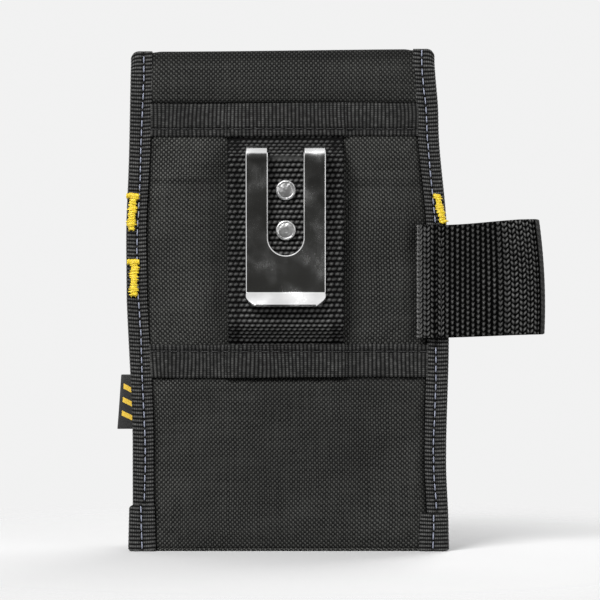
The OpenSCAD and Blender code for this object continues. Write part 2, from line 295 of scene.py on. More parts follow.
def shell(name, outer, thick, relief=1.0, depth=0.0, keep=None, lean=True, round_r=0.6, uv=None):
    """A closed sheet of cloth under the grid of points over its outer face, with rounded edges.
    relief is 1 on top of the yarns and 0 in the gaps, which lie depth lower; it is also kept on the mesh,
    where the cloth materials darken the colour with it as painted shade and, on the back panel, painted light."""
    n, m = outer.shape[:2]
    relief = np.broadcast_to(relief, (n, m))
    u, v = np.moveaxis(grid_uv(outer), -1, 0)
    uv = grid_uv(outer) if uv is None else uv
    normal = normals(outer)
    from_edge = np.minimum(np.minimum(u, u.max() - u), np.minimum(v, v.max() - v))
    near = np.clip(1 - from_edge / round_r, 0, 1)
    drop = 0.4 * thick * (1 - np.sqrt(1 - near ** 2)) + (1 - relief) * depth
    front = outer - normal * drop[..., None]
    back = outer - normal * thick
    if lean:
        front, back = leaned(front), leaned(back)
    quads = quads_of(n, m)
    if keep is not None:
        quads = quads[keep.ravel()]
    sides = np.concatenate([quads[:, [k, (k + 1) % 4]] for k in range(4)])
    _, first, count = np.unique(np.sort(sides, axis=1), axis=0, return_index=True, return_counts=True)
    rim = sides[first[count == 1]]
    walls = np.stack([rim[:, 1], rim[:, 0], rim[:, 0] + n * m, rim[:, 1] + n * m], axis=1)
    faces = np.concatenate([quads, quads[:, ::-1] + n * m, walls])
    points = np.concatenate([front, back]).reshape(-1, 3)
    return make_object(name, points, faces, np.tile(uv.reshape(-1, 2), (2, 1)), np.tile(relief.ravel(), 2))


def threads(name, starts, ends, up, radius, arch, rings=7):
    """Short lengths of thread from each start to each end, arched along up, with tapered ends."""
    starts, ends = np.asarray(starts, float), np.asarray(ends, float)
    up = np.broadcast_to(np.asarray(up, float), starts.shape)
    count, sides = len(starts), 6
    t = np.linspace(0, 1, rings)
    hump = np.sin(math.pi * t) ** 0.5
    line = starts[:, None] + (ends - starts)[:, None] * t[:, None]
    line = line + up[:, None] * (hump[:, None] * np.broadcast_to(arch, count)[:, None, None])
    along = (ends - starts) / np.maximum(np.linalg.norm(ends - starts, axis=1, keepdims=True), 1e-9)
    across = np.cross(along, up)
    angle = np.arange(sides) * 2 * math.pi / sides
    thick = radius * (0.55 + 0.45 * hump)
    ring = across[:, None, None] * np.cos(angle)[:, None] + up[:, None, None] * np.sin(angle)[:, None]
    points = line[:, :, None] + ring * thick[None, :, None, None]
    head = np.array([(0, 1, 4, 5), (1, 2, 3, 4)])
    tail = head[:, ::-1] + (rings - 1) * sides
    one = np.concatenate([tube_quads(rings, sides)[:, ::-1], head, tail])
    quads = (one + np.arange(count)[:, None, None] * rings * sides).reshape(-1, 4)
    uv = np.stack(np.broadcast_arrays(t[None, :, None] * 8, angle[None, None] * radius), axis=-1)
    uv = np.broadcast_to(uv, (count, rings, sides, 2)).reshape(-1, 2)
    return make_object(name, leaned(points.reshape(-1, 3)), quads, uv, sharp=180)


def joined(objects, name):
    """One object from several."""
    if len(objects) == 1:
        objects[0].name = name
        return objects[0]
    with bpy.context.temp_override(
        active_object=objects[0], object=objects[0],
        selected_objects=objects, selected_editable_objects=objects,
    ):
        bpy.ops.object.join()
    objects[0].name = name
    return objects[0]


def stitch_row(name, line, up=BELT_SIDE, length=3.0, gap=1.0, radius=0.3, arch=0.12):
    """A row of stitches along a line of points. up is one direction, or one for each point."""
    along = lengths(line)
    begin = np.arange(0.4, along[-1] - length, length + gap)
    read = lambda at, values: np.stack([np.interp(at, along, values[:, k]) for k in range(3)], 1)
    up = np.broadcast_to(up, line.shape)
    wander = RNG.normal(0, 0.05, (len(begin), 1)) * np.array([1, 0, 1])
    starts, ends = read(begin, line) + wander, read(begin + length, line) + wander
    return threads(name, starts, ends, read(begin + length / 2, up), radius, arch)


# ---- Cloth simulation ----

SIM_SCALE = 10
SIM_FRAMES = 16


def settled(name, grid, pinned, pressure, growth, cap):
    """The grid after a short cloth simulation in which pinned points stay. Pressure pushes it outwards,
    growth makes it that much too large for its seams, and no point ends more than cap away."""
    n, m = grid.shape[:2]
    obj = make_object(name, grid.reshape(-1, 3) * SIM_SCALE, quads_of(n, m))
    group = obj.vertex_groups.new(name="pinned")
    group.add([int(i) for i in np.flatnonzero(pinned.ravel())], 1.0, "REPLACE")
    cloth = obj.modifiers.new("cloth", "CLOTH")
    chosen = {
        "quality": 6, "mass": 0.4, "tension_stiffness": 25, "compression_stiffness": 25,
        "shear_stiffness": 10, "bending_stiffness": 2, "vertex_group_mass": "pinned",
        "use_pressure": True, "uniform_pressure_force": pressure, "shrink_min": -growth,
    }
    for setting, value in chosen.items():
        setattr(cloth.settings, setting, value)
    cloth.settings.effector_weights.gravity = 0
    cloth.point_cache.frame_start, cloth.point_cache.frame_end = 1, SIM_FRAMES
    for step in range(1, SIM_FRAMES + 1):
        bpy.context.scene.frame_set(step)
    shown = obj.evaluated_get(bpy.context.evaluated_depsgraph_get())
    points = np.zeros(n * m * 3, np.float32)
    shown.data.vertices.foreach_get("co", points)
    moved = points.reshape(n, m, 3).astype(float) / MM / SIM_SCALE - grid
    size = np.maximum(np.linalg.norm(moved, axis=-1, keepdims=True), 1e-9)
    bpy.data.objects.remove(obj)
    bpy.context.scene.frame_set(1)
    return grid + moved * cap * np.tanh(size / cap) / size


# ---- Materials ----


class Value:
    """A node's output, which takes part in sums as a plain number does."""

    def __init__(self, graph, socket):
        self.graph, self.socket = graph, socket

    __add__ = __radd__ = lambda self, other: self.graph.math("ADD", self, other)
    __mul__ = __rmul__ = lambda self, other: self.graph.math("MULTIPLY", self, other)
    __sub__ = lambda self, other: self.graph.math("SUBTRACT", self, other)
    __rsub__ = lambda self, other: self.graph.math("SUBTRACT", other, self)
    __pow__ = lambda self, other: self.graph.math("POWER", self, other)
    __abs__ = lambda self: self.graph.math("ABSOLUTE", self)


class Graph:
    """The node tree of a material or a world, built by short calls that take values or plain numbers."""

    def __init__(self, owner):
        owner.use_nodes = True
        self.owner, self.tree = owner, owner.node_tree

    def node(self, kind, output=0, inputs=(), **settings):
        """Adds a node and returns one of its outputs. inputs holds pairs of a socket's key and its value."""
        made = self.tree.nodes.new(kind)
        for key, value in settings.items():
            setattr(made, key, value)
        for key, value in inputs:
            self.link(value, made.inputs[key])
        return Value(self, made.outputs[output])

    def link(self, value, socket):
        if isinstance(value, Value):
            self.tree.links.new(value.socket, socket)
        else:
            socket.default_value = value

    def math(self, operation, *values):
        return self.node("ShaderNodeMath", inputs=enumerate(values), operation=operation)

    def sine(self, value):
        return self.math("SINE", value)

    def uv(self):
        """Distances along and across the cloth, in millimetres."""
        place = [(0, self.node("ShaderNodeUVMap", uv_map="weave"))]
        return [self.node("ShaderNodeSeparateXYZ", k, place) for k in range(2)]

    def noise(self, scale, detail=3.0, stretch=(1, 1, 1), rough=0.5, place="Object"):
        """Noise with about scale blobs a millimetre, times stretch along each axis."""
        point = self.node("ShaderNodeTexCoord", place)
        point = self.node("ShaderNodeMapping", 0, [(0, point), ("Scale", [s / MM for s in stretch])])
        chosen = [("Vector", point), ("Scale", scale), ("Detail", detail), ("Roughness", rough)]
        return self.node("ShaderNodeTexNoise", "Fac", chosen)

    def ramp(self, value, *stops):
        """A colour ramp. Each stop is (place, grey or colour)."""
        made = self.node("ShaderNodeValToRGB", inputs=[(0, value)])
        elements = made.socket.node.color_ramp.elements
        while len(elements) < len(stops):
            elements.new(0.5)
        for element, (place, colour) in zip(elements, stops):
            element.position = place
            element.color = (*np.broadcast_to(colour, 3).tolist(), 1)
        return made

    def blend(self, kind, share, a, b):
        return self.node("ShaderNodeMix", 2, [(0, share), (6, a), (7, b)], data_type="RGBA", blend_type=kind)

    def patchy(self, colour, scale, *stops):
        """The colour, darker in soft patches."""
        return self.blend("MULTIPLY", 1.0, colour, self.ramp(self.noise(scale, 4), *stops))

    def bump(self, height, distance, strength=1.0, before=None):
        chosen = [("Strength", strength), ("Distance", distance * MM), ("Height", height)]
        return self.node("ShaderNodeBump", 0, chosen + [("Normal", before)] * (before is not None))

    def mix(self, share, a, b):
        return self.node("ShaderNodeMixShader", 0, enumerate((share, a, b)))

    def done(self, colour, roughness, normal=None, metallic=0.0, specular=0.5, sheen=0.0):
        shader = self.tree.nodes["Principled BSDF"]
        chosen = {"Base Color": colour, "Roughness": roughness, "Metallic": metallic,
                  "Specular IOR Level": specular, "Sheen Weight": sheen, "Normal": normal}
        for key, value in chosen.items():
            if value is not None:
                self.link(value, shader.inputs[key])
        return self.owner


def basket_weave(name, cell, dark, light, depth):
    """Nylon cloth of paired yarns that pass over and under each other, one crossing to a cell. Its mesh's
    relief is 1 where the cloth is open to the light, and less in folds; the colour is multiplied by it, so
    that it carries the painted light and painted shade of each piece."""
    g = Graph(bpy.data.materials.new(name))
    u, v = g.uv()
    u, v = u + 1.7 * g.noise(0.05, 1), v + 1.7 * g.noise(0.04, 1)
    turn = math.pi / cell
    wave_u, wave_v = g.sine(u * turn), g.sine(v * turn)
    warp = g.math("GREATER_THAN", wave_u * wave_v, 0.0)
    crown = abs(wave_u) ** (0.4 + 0.7 * warp) * abs(wave_v) ** (1.1 - 0.7 * warp)
    pair = abs(g.sine(u * (2 * turn))) * warp + abs(g.sine(v * (2 * turn))) * (1.0 - warp)
    height = crown * (0.8 + 0.2 * pair)
    # Warp cells are painted brighter than weft cells: painted light, as the light catches one set of yarns.
    shown = height * (0.6 + 0.8 * g.noise(3.0, 2)) * (0.25 + 0.75 * warp)
    rising = g.math("COSINE", (u - v) * turn)
    falling = g.math("COSINE", (u + v + cell) * turn)
    slant = g.blend("MIX", g.ramp(g.noise(0.014, 1), (0.44, 0.0), (0.56, 1.0)), rising, falling)
    shown = g.math("MAXIMUM", shown, slant * 0.25)
    streaks = g.noise(0.7, 1, (1, 1, 0.04)) + g.noise(0.7, 1, (0.04, 1, 1))
    shown = shown * (0.4 + 0.6 * streaks)
    # The colour runs from dark in the gaps between yarns, which is painted shade, to light on the crowns.
    colour = g.ramp(shown, (0.13, dark), (0.36, np.array(light) * 0.85), (0.95, light))
    colour = g.patchy(colour, 0.035, (0.3, 0.76), (0.7, 1.0))
    painted_shading = g.ramp(g.node("ShaderNodeAttribute", "Fac", attribute_name="relief"), (0.0, 0.0), (1.0, 1.0))
    colour = g.blend("MULTIPLY", 1.0, colour, painted_shading)
    return g.done(colour, 0.78 - 0.22 * shown, g.bump(height, depth), specular=0.12)


def yarn(name, dark, light, bead=0.0, gloss=0.2, gap=0.18, shine=0.12):
    """Ribbed tape or webbing, whose ribs are in the mesh: light crowns, dark gaps painted as shade, and fine
    fibres.
    Fine lengthwise yarns cut each rib into beads, with painted shade between them. The colour follows the
    mesh's relief, so it also carries the painted shade along seams and folds."""
    g = Graph(bpy.data.materials.new(name))
    relief = g.node("ShaderNodeAttribute", "Fac", attribute_name="relief")
    fibre = g.noise(2.4, 3, rough=0.6)
    if bead:
        across = g.uv()[1] + 0.5 * g.noise(0.5, 2)
        relief = relief * (0.45 + 0.55 * abs(g.sine(across * (math.pi / bead))))
    shown = relief * (0.3 + (0.7 * fibre + 0.6 * g.noise(0.45, 2)))
    colour = g.ramp(shown, (gap, dark), (0.6, np.array(light) * 0.4), (1.0, light))
    colour = g.patchy(colour, 0.05, (0.35, 0.7), (0.75, 1.0))
    return g.done(colour, 0.75 - gloss * shown, g.bump(relief + 0.3 * fibre, 0.12, 0.7), specular=shine)


def thread_material(name, dark, light, roughness=0.5):
    """Twisted thread, with plies that wind round it."""
    g = Graph(bpy.data.materials.new(name))
    u, v = g.uv()
    shown = 0.22 * g.sine((u + 2.0 * v) * 5.0) + g.noise(2.0, 3)
    colour = g.ramp(shown, (0.2, dark), (0.75, light))
    return g.done(colour, roughness, g.bump(shown, 0.08, 0.6), specular=0.5, sheen=0.05)


def steel(name, tone, roughness, grain, dents, dent_depth):
    """Bright plated steel with fine drawn grain, smudges and a few scratches."""
    g = Graph(bpy.data.materials.new(name))
    lines = g.noise(1.2, 4, grain, 0.65)
    smudge = g.noise(0.09, 4)
    scratch = g.ramp(g.noise(1.1, 2, (1.6, 1, 0.2)), (0.69, 0.0), (0.76, 1.0))
    colour = g.ramp(smudge, (0.25, tone * 0.82), (0.7, tone))
    haze = (0.6 + 0.8 * g.noise(2.2, 2)) * g.ramp(smudge, (0.4, 0.0), (0.68, 1.0))
    rough = roughness + 0.08 * lines + 0.17 * haze + 0.1 * scratch
    normal = g.bump(g.noise(dents, 1), dent_depth, 0.5)
    return g.done(colour, rough, g.bump(lines, 0.012, 0.35, normal), metallic=1.0)


def label_material(name):
    """Fine woven ribbon with plain bars woven in yellow."""
    g = Graph(bpy.data.materials.new(name))
    u, v = g.uv()
    weave = abs(g.sine(u * 9.0) * g.sine(v * 9.0))
    stripe = g.math("COMPARE", g.math("FRACT", (v + 0.5 * u) * (1 / 6)), 0.5, 0.19)
    columns = g.math("MAXIMUM", g.math("COMPARE", u, 10.6, 2.3), g.math("COMPARE", u, 18.0, 2.3))
    mark = stripe * (g.math("COMPARE", v, 12.0, 8.4) * columns)
    ground = g.ramp(weave, (0.1, 0.006), (0.8, 0.022))
    gold = g.ramp(weave, (0.05, (0.75, 0.42, 0.02)), (0.8, (1.0, 0.76, 0.10)))
    rough = g.ramp(weave, (0, 0.7), (1, 0.5))
    return g.done(g.blend("MIX", mark, ground, gold), rough, g.bump(weave + 1.2 * mark, 0.05))


def plastic_board(name):
    g = Graph(bpy.data.materials.new(name))
    grain = g.noise(0.9, 4)
    rough = g.ramp(g.noise(0.2, 3), (0.3, 0.4), (0.7, 0.6))
    return g.done(g.ramp(grain, (0.3, 0.012), (0.8, 0.024)), rough, g.bump(grain, 0.03, 0.5))


OXFORD = basket_weave("oxford_cloth", cell=1.04, dark=0.003, light=(0.087, 0.088, 0.082), depth=0.22)
LINING = basket_weave("lining_cloth", cell=0.8, dark=0.006, light=(0.085, 0.085, 0.083), depth=0.2)
TAPE = yarn("ribbed_tape", 0.001, (0.16, 0.16, 0.155), bead=0.95)
BAND_TAPE = yarn("band_tape", 0.002, (0.115, 0.115, 0.111), bead=0.9)
BELT_YARN = yarn("belt_webbing", 0.0003, (0.215, 0.215, 0.21), gloss=0.15, shine=0.08)
LOOP_YARN = yarn("loop_webbing", 0.0002, (0.2, 0.2, 0.195), gloss=0.1, gap=0.22, shine=0.03)
SEAM_THREAD = thread_material("seam_thread", (0.10, 0.11, 0.15), (0.42, 0.45, 0.56))
BLACK_THREAD = thread_material("black_thread", 0.004, 0.03)
TACK_THREAD = thread_material("tack_thread", (0.5, 0.24, 0.0), (1.0, 0.84, 0.04), 0.42)
CLIP_STEEL = steel("clip_steel", tone=0.8, roughness=0.09, grain=(1.6, 1, 0.12), dents=0.045, dent_depth=0.5)
RIVET_STEEL = steel("rivet_steel", tone=0.62, roughness=0.28, grain=(0.5, 1, 0.5), dents=0.42, dent_depth=0.8)
LABEL = label_material("label_ribbon")
BOARD = plastic_board("stiffener_plastic")


# ---- Reliefs of yarns, each from 0 in a gap to 1 on a crown ----


def ribs(along, across, bead):
    """Ribs that run across a tape, with a bead wherever a lengthwise yarn crosses them."""
    row = np.floor(along / RIB_PITCH)
    beads = 0.8 + 0.2 * humps(across / bead + 0.5 * (row % 2))
    return np.clip(humps(along / RIB_PITCH, 1.5) * beads, 0, 1)


def beads_of(along, across, row_pitch=2.27, bead_pitch=2.45):
    """Coarse webbing: rows of slanted beads, each row half a bead out of step with the last."""
    row = np.floor(along / row_pitch)
    slant = 0.38 * (along / row_pitch - row - 0.5)
    bead = humps(across / bead_pitch + 0.5 * (row % 2) + slant)
    return humps(along / row_pitch, 1.4) * (0.2 + 0.8 * bead)


def chevrons(pairs, across, opened):
    """Heavy webbing: slanted yarns in columns that lean the other way next door, counted in pairs of
    columns. Where opened is 0 each pair closes up to one ridge, with a deep gap beside it."""
    knot_pitch = 2.36
    pair = np.floor(pairs)
    place = pairs - pair
    half = 2 * place - np.floor(2 * place)
    lean = np.where(place < 0.5, 0.6, -0.6)
    knots = humps(across / knot_pitch + 0.41 * pair + lean * (half - 0.5), 1.9)
    shape = np.clip(0.85 * humps(place, 1.9) * (1 - opened) + humps(2 * place, 0.8) * opened, 0, 1)
    return shape * (0.27 - 0.12 * opened + (0.73 + 0.12 * opened) * knots)


# ---- Back panel ----


def back_fabric():
    """The outer cloth of the back, drawn in at its seams and bands and slightly full between them."""
    low, high = box("back_panel")
    heights = np.linspace(0.9, high[2] - 1, 74)
    x = np.linspace(-1, 1, 48)[:, None] * (half_width(heights) - TAPE_T)
    z = np.broadcast_to(heights, x.shape)
    roll = np.clip(1 - z / 3.2, 0, 1)
    flat = grid_of(x, BACK_Y + 2.2 * (1 - np.sqrt(1 - roll ** 2)), z)
    sewn = (np.abs(x) > half_width(z) - BINDING_W - 0.5) | (z < 4) | (z > UPPER_BAND[0][2] - 1)
    sewn |= (z > LOWER_BAND[0][2] - 1) & (z < LOWER_BAND[1][2] + 1)
    grid = settled("back_cloth", flat, sewn, pressure=1.6, growth=0.012, cap=1.1)
    crease = 0.5 * between(np.abs(x), 25, 31, 31, 50) * between(z, 92, 104, 168, 181)
    ridge = 0.35 * bell(z, 164 + 0.5 * np.sin(x / 17), 1.6) * rise(np.abs(x), 27, 36)
    loose = between(z, 4, 18, 66, 76) + between(z, 92, 104, 170, 182)
    dip = 0.8 * bell(x, 55, 5) * between(z, LOOP_LOW - 6, LOOP_LOW + 4, LOOP_TOP - 4, LOOP_TOP + 6)
    grid[..., 1] += (crease - ridge + 0.9 * wrinkles(x, z) * loose) * ~sewn + dip
    fine = refined(grid, 170, 250)
    x, z = fine[..., 0], fine[..., 2]
    crevice = np.maximum(bell(np.abs(x), cloth_edge(z) + 0.4, 1.3), bell(z, LOWER_BAND[0][2] - 0.5, 1.2))
    board_y = np.where(z > 4, BACK_Y + 0.8 * FABRIC_T, np.inf)
    fine[..., 1] = np.minimum(fine[..., 1] + 0.7 * crevice, board_y)
    # The colour is painted with light and shade: lighter on the left side as painted light from the left,
    # darker in the middle and beside the belt webbing as painted shade, a little lighter at the far right of
    # the lower panel, with painted shade along the crease at about 162 mm, beside the tool loop's anchor, and
    # in crevice along the seams' edges and under the lower band, where the cloth is also drawn in.
    upper = rise(z, 84, 90)
    painted_light_and_shade = (1 - upper) * (0.05 + 0.6 * (1 - rise(x, -62, -8)) + 0.25 * rise(x, 34, 56))
    painted_light_and_shade += upper * np.where(x < 0, 0.1 + 0.9 * rise(-x, 29, 38), 0.75)
    shade = 0.22 * bell(z, 162 - x / 40, 0.9) * rise(np.abs(x), 26, 31)
    shade += 0.45 * bell(x, 56, 4.5) * between(z, 88, 96, 142, 150)
    tone = (0.7 + 0.3 * painted_light_and_shade) * (1 - shade) * (1 - 0.75 * crevice)
    obj = shell("back_fabric", fine, FABRIC_T, tone, round_r=1.0)
    finished(obj, OXFORD, "outer_fabric", "back_panel")


def back_lining():
    low, high = box("back_lining")
    z = np.linspace(low[2], high[2] - 1, 60)
    x = np.linspace(1, -1, 40)[:, None] * (half_width(z) - TAPE_T - 0.3)
    full = 0.35 * between(z, 160, 172, 190, 197) * np.cos(x / 45) * (1 + 0.4 * np.sin(x / 9 + z / 14))
    grid = grid_of(x, INSIDE_Y + full, z)
    obj = shell("back_lining_cloth", refined(grid, 160, 220), high[1] - low[1])
    finished(obj, LINING, "lining", "back_lining")


def top_hem():
    """Heavy cloth folded over the top edge, rolled along the fold and tucked in above the upper band."""
    low, high = box("top_facing")
    line = rounded([
        (low[1] + 0.9, low[2] - 0.3), (low[1] + 0.1, low[2] + 1.6), (low[1] - 0.8, low[2] + 7),
        (low[1] - 0.6, low[2] + 13), (low[1] + 0.1, high[2] - 3.0), (low[1] + 0.7, high[2] - 0.6),
        (BACK_Y + 1.5, high[2] + 0.2), (high[1] - 0.8, high[2] - 0.6), (high[1], high[2] - 3.5),
        (high[1] + 0.3, low[2] + 9), (high[1], low[2]),
    ], 0.45, 0.9)
    x = np.linspace(low[0] - 1.2, high[0] + 1.2, 300)[:, None]
    y, z = line.T
    side = rise(np.abs(x), high[0] - 4, high[0] + 1)
    middle = (low[1] + high[1]) / 2
    y = middle + (y - middle) * (1 - 0.2 * side)
    y = y + (0.12 * np.sin(x / 13.0) + 0.05 * np.sin(x / 5.1 + 1)) * rise(high[2] - z, 1, 6)
    z = z - 0.5 * side * rise(z, high[2] - 4, high[2])
    # The hem's colour is painted: painted shade where it tucks in under the upper band and along the rolled
    # top, and the whole hem at 0.78 of the cloth's colour.
    tone = 0.78 * rise(z, low[2] - 0.6, low[2] + 2.5) * (1 - 0.5 * rise(z, high[2] - 6.5, high[2] - 2.5))
    obj = shell("top_hem", grid_of(x, y, z), FABRIC_T, tone)
    finished(obj, OXFORD, "outer_fabric", "top_facing")


def cross_band(node, name, stitched_at, tone):
    """Ribbed tape across the back, stepped over the belt webbing and sewn down along one edge."""
    low, high = box(node)
    step = WEBBING[1][0]
    flat_y = BACK_Y - TAPE_T
    line = rounded([
        (low[0] - 1, flat_y), (-step - 2.2, flat_y), (-step - 0.4, low[1]),
        (step + 0.4, low[1]), (step + 2.2, flat_y), (high[0] + 1, flat_y),
    ], 0.27, 0.55)
    levels = np.linspace(low[2], high[2], 44)
    x, y = line[:, :1], line[:, 1:]
    z = levels + 0.25 * np.sin(x / 23)
    seam_z = low[2] + stitched_at
    pull = bell(z, seam_z, 0.7)
    y = y + 0.28 * pull - 0.12 * np.sin(math.pi * (z - low[2]) / (high[2] - low[2]))
    along = lengths(line)[:, None]
    bead = 1.3
    relief = ribs(along + 0.4 * wrinkles(along, z), z, bead) ** 0.8
    lumps = RNG.random((int(along.max() / RIB_PITCH) + 1, 16))
    row, column = (along / RIB_PITCH).astype(int), ((levels - low[2]) / bead).astype(int)
    relief = relief * (0.72 + 0.42 * lumps[row, column])
    # The tape is darkened along its seam: painted shade in the groove the stitches pull in, and darker stitch
    # holes.
    holes = humps(along / 4.5, 6)
    relief = np.clip(relief, 0, 1) * (1 - pull * (0.35 + 0.6 * holes)) * tone
    obj = shell(name, grid_of(x, y, z), TAPE_T, relief, 0.2)
    finished(obj, BAND_TAPE, "binding_tape", node)
    seam = grid_of(line[:, 0], line[:, 1] + 0.12, seam_z)
    row = stitch_row(name + "_stitches", seam, length=3.6, gap=0.9, radius=0.2, arch=0.02)
    finished(row, BLACK_THREAD, "binding_tape")


# ---- Belt webbing ----


def belt_webbing():
    """Coarse webbing that stands off the panel between the bands, with two slits for the clip's legs."""
    low, high = WEBBING
    sewn = BACK_Y - WEB_T
    top, foot = UPPER_BAND[0][2] - 1, LOWER_BAND[1][2] + 1
    run = 7
    line = rounded([
        (sewn, high[2]), (sewn, top), (low[1], top - run), (low[1], foot + run), (sewn, foot),
        (sewn, low[2]),
    ], 0.36, 1.0)
    x = np.linspace(low[0], high[0], 146)
    grid = grid_of(x, line[:, :1], line[:, 1:])
    along = lengths(line)[:, None]
    half, z = np.abs(x), grid[..., 2]
    relief = beads_of(along, x + 0.35 * np.sin(along / 17))
    fold = bell(z, top - 9, 1.0) * (half < CLIP_SLOT_R - 0.4)
    relief = relief * (1 - fold) + 0.45 * fold
    edge = rise(half, high[0] - 1.1, high[0] - 0.4)
    selvage = bell(half, high[0] - 4.2, 0.8) + rise(half, high[0] - 8, high[0] - 3)
    shaded = 0.4 * rise(z, top - 8, top - 3)
    relief = np.clip(relief * (1 - 0.25 * edge) * (1 - 0.24 * selvage) * (1 - shaded), 0, 1)
    slit_low, slit_high = box("clip_back_plate")[1][2] - 1.5, box("clip_spring_frame")[1][2] + 0.6
    clip_half = box("clip_spring_frame")[1][0]
    middle_x, _, middle_z = np.moveaxis((grid[:-1, :-1] + grid[1:, 1:]) / 2, -1, 0)
    cut = (middle_z > slit_low) & (middle_z < slit_high)
    cut &= (np.abs(middle_x) > CLIP_SLOT_R - 0.4) & (np.abs(middle_x) < clip_half + 0.25)
    for rivet_z in rivet_heights():
        cut |= np.hypot(middle_x, middle_z - rivet_z) < 2.3
    obj = shell("belt_loop_webbing", grid, WEB_T, relief, 0.9, keep=~cut, lean=False)
    finished(obj, BELT_YARN, "webbing", "belt_webbing")


def rivet_heights():
    low, high = box("clip_rivets")
    head = (high[0] - low[0]) / 2
    return high[2] - head, low[2] + head


# ---- Bindings ----


def folded_tape(name, x_inner, x_outer, z, y_rear, y_front, seam_at, mirror, corner):
    """Tape folded round a side seam, its outer top corner rounded. x_inner and x_outer are arrays over z.
    Returns the tape and the line that its stitches follow."""
    scale = np.array([BINDING_W, 1])
    section = rounded([
        (0.0, y_rear + 0.25), (0.05, y_rear), (0.94, y_rear - 0.05), (1.0, (y_rear + y_front) / 2),
        (0.94, y_front + 0.05), (0.05, y_front), (0.0, y_front - 0.25),
    ] * scale, 0.31, 0.55)
    share = section[:, :1] / BINDING_W
    from_inner = share * (x_outer - x_inner)
    turned = np.clip((share * BINDING_W - BINDING_W + corner) / corner, 0, 1)
    drop = corner * (1 - np.sqrt(1 - 0.96 * turned ** 2)) * rise(z, z[-1] - 3 * corner, z[-1])
    line_at = seam_at + 0.06 * corner * np.sin(z / 9.0)
    pull = bell(from_inner, line_at, 0.75)
    rear = (np.arange(len(section)) < len(section) / 2)[:, None]
    grid = grid_of(x_inner + from_inner, section[:, 1:] + np.where(rear, 0.3, -0.3) * pull, z - drop)
    around = lengths(section)[:, None]
    uneven = 0.25 * np.sin(around / 3.1) + 0.35 * wrinkles(z, around)
    # The ribs are darkened along the seam, as painted shade in the groove the stitches pull in.
    relief = ribs(z + uneven, around, TAPE_BEAD) * (1 - 0.5 * pull)
    depth = 0.4 - 0.28 * rise(share, 0.85, 0.97)
    seam = grid_of(x_inner + line_at, y_rear + 0.12, z)
    if mirror:
        grid[..., 0] *= -1
        seam[:, 0] *= -1
        grid, relief, depth = grid[::-1], relief[::-1], depth[::-1]
    return shell(name, grid, TAPE_T, relief, depth, uv=grid_uv(grid)[..., ::-1]), seam


def side_binding(side):
    node = "side_binding_" + side
    low, high = box(node)
    z = np.arange(low[2] + 1.0, high[2] - 0.6, 0.32)
    outer = half_width(np.minimum(z, 216)) + 0.25 * np.sin(z / 31 + (side == "left"))
    inner = cloth_edge(z) + 0.2 * np.sin(z / 19)
    y_rear, y_front = BACK_Y - TAPE_T - 0.15, INSIDE_Y + TAPE_T + 0.1
    obj, seam = folded_tape("seam_binding_" + side, inner, outer, z, y_rear, y_front,
                            seam_at=4.1, mirror=side == "left", corner=4.0)
    lift_over_hem(obj)
    finished(obj, TAPE, "binding_tape", node)
    seam[:, 1] -= hem_lift(z)
    seam = seam[(z > box("corner_wrap_" + side)[1][2] + 1) & (z < high[2] - 1)]
    rows = [seam]
    if side == "right":
        rows = [seam[seam[:, 2] > LOOP_TOP + 0.5], seam[seam[:, 2] < LOOP_LOW - 0.5]]
    made = [stitch_row(f"row_{k}", row) for k, row in enumerate(rows)]
    finished(joined(made, "seam_stitches_" + side), SEAM_THREAD, "binding_tape")


def hem_lift(z):
    """How much further back a binding lies where it also covers the hem."""
    return 0.45 * rise(z, 194, 200)


def lift_over_hem(obj):
    """Lifts the rear half of a folded tape where it also covers the hem."""
    points = np.zeros(len(obj.data.vertices) * 3, np.float32)
    obj.data.vertices.foreach_get("co", points)
    points = points.reshape(-1, 3) / MM
    points[:, 1] -= (1 - rise(points[:, 1], BACK_Y, BACK_Y + 2)) * hem_lift(points[:, 2])
    obj.data.vertices.foreach_set("co", (points * MM).astype(np.float32).ravel())
    obj.data.update()


def corner_wrap(side):
    """A short tape wrapped round the foot of a side seam, over the binding."""
    node = "corner_wrap_" + side
    low, high = box(node)
    inner_x, outer_x = (1.6 - high[0], 0.8 - low[0]) if side == "left" else (low[0] - 1.4, high[0] - 1.2)
    z = np.arange(low[2] + 0.05, high[2], 0.29)
    share = (z - low[2]) / (high[2] - low[2])
    top = rise(z, high[2] - 1.6, high[2])
    outer = outer_x + 0.4 - 0.5 * share - 1.2 * top ** 2 - 0.8 * rise(1 - z, 0, 1)
    inner = inner_x - 0.3 + 0.5 * share + 0.3 * top
    obj, seam = folded_tape("corner_wrap_tape_" + side, inner, outer, z, low[1] - 0.1, high[1] + 0.1,
                            seam_at=6.0, mirror=side == "left", corner=1.6)
    finished(obj, TAPE, "binding_tape", node)
    seam = seam[(z > low[2] + 0.8) & (z < high[2] - 0.6)]
    row = stitch_row("wrap_stitches_" + side, seam, length=3.1, gap=0.8)
    finished(row, SEAM_THREAD, "binding_tape")


# ---- Tool loop ----


